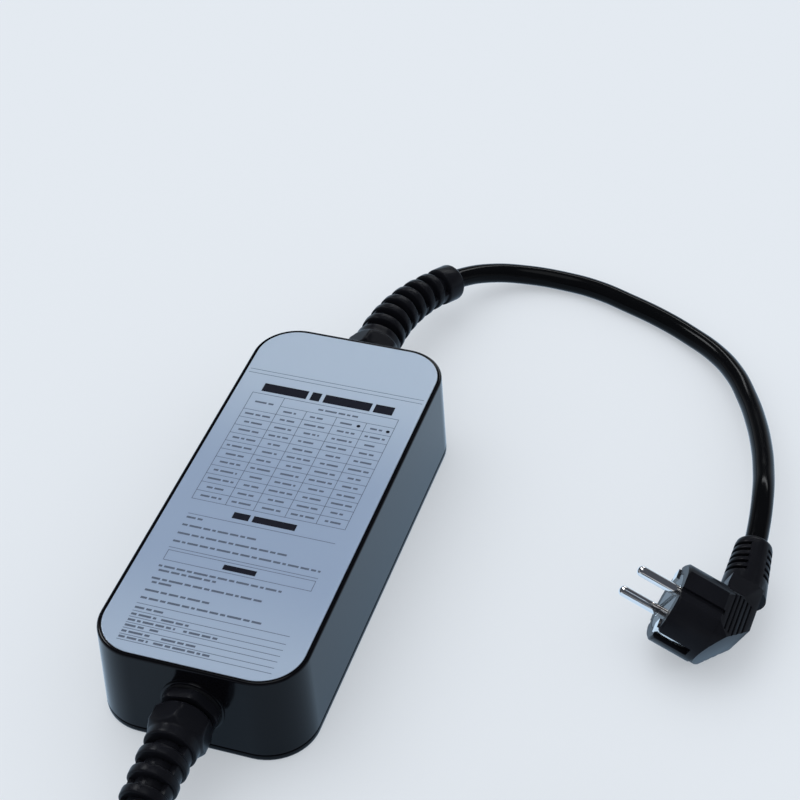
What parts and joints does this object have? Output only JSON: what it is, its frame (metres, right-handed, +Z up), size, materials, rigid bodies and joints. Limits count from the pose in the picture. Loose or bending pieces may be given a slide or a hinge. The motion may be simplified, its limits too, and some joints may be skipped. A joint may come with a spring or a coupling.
{
  "type": "portable ev charger",
  "caption": "Portable electric car charger: a flat control box with a printed top panel, a short lead to an angled mains plug and a coiled lead with a capped car connector",
  "frame": {"origin": "on the table, under the middle of the control box", "axes": "+Y runs along the box towards the end with the mains lead, +X to the right when looking along +Y, +Z up"},
  "size_m": [0.2594, 0.7503, 0.0622],
  "materials": {
    "black_shell": "satin moulded",
    "black_soft": "matte moulded",
    "lead_sheath": "smooth",
    "label_film": "semi-gloss printed film",
    "seal": "matte",
    "steel": "zinc plated",
    "pin_metal": "nickel plated",
    "clip_metal": "bright",
    "board": "solder mask",
    "component_dark": "moulded",
    "component_blue": "sleeved",
    "terminal_green": "moulded",
    "lamp": "diffuse",
    "guide": "frosted clear",
    "core_brown": "smooth",
    "core_blue": "smooth",
    "contact_metal": "plated",
    "strap": "woven"
  },
  "bodies": {
    "root": {"housing": "black_shell", "base_cover": "black_shell", "base_seal": "seal", "cover_screws": "steel", "label_panel": "label_film", "circuit_board": "board", "board_screws": "steel", "power_relays": "component_dark", "supply_module": "component_dark", "storage_capacitors": "component_blue", "leakage_sensor": "component_dark", "control_chip": "component_dark", "status_lamps": "lamp", "light_guide": "guide", "mains_terminals": "terminal_green", "car_terminals": "terminal_green", "mains_cores": "core_brown", "car_cores": "core_blue", "mains_gland_body": "black_shell", "mains_gland_washer": "seal", "mains_gland_locknut": "black_shell", "mains_gland_insert": "seal", "mains_strain_relief": "black_soft", "mains_cable_end": "lead_sheath", "mains_cable": "lead_sheath", "car_gland_body": "black_shell", "car_gland_washer": "seal", "car_gland_locknut": "black_shell", "car_gland_insert": "seal", "car_strain_relief": "black_soft", "car_cable_end": "lead_sheath", "car_cable": "lead_sheath", "car_cable_coil": "lead_sheath", "coil_straps": "strap", "car_cable_tail": "lead_sheath", "plug_body": "black_soft", "plug_bridge": "black_shell", "plug_pins": "pin_metal", "plug_earth_clips": "clip_metal", "connector_shell_left": "black_shell", "connector_shell_right": "black_shell", "connector_screws": "steel", "connector_grommet": "black_soft", "connector_cable": "lead_sheath", "connector_nose": "black_shell", "connector_contacts": "contact_metal", "connector_cap": "black_soft"}
  },
  "joints": []
}
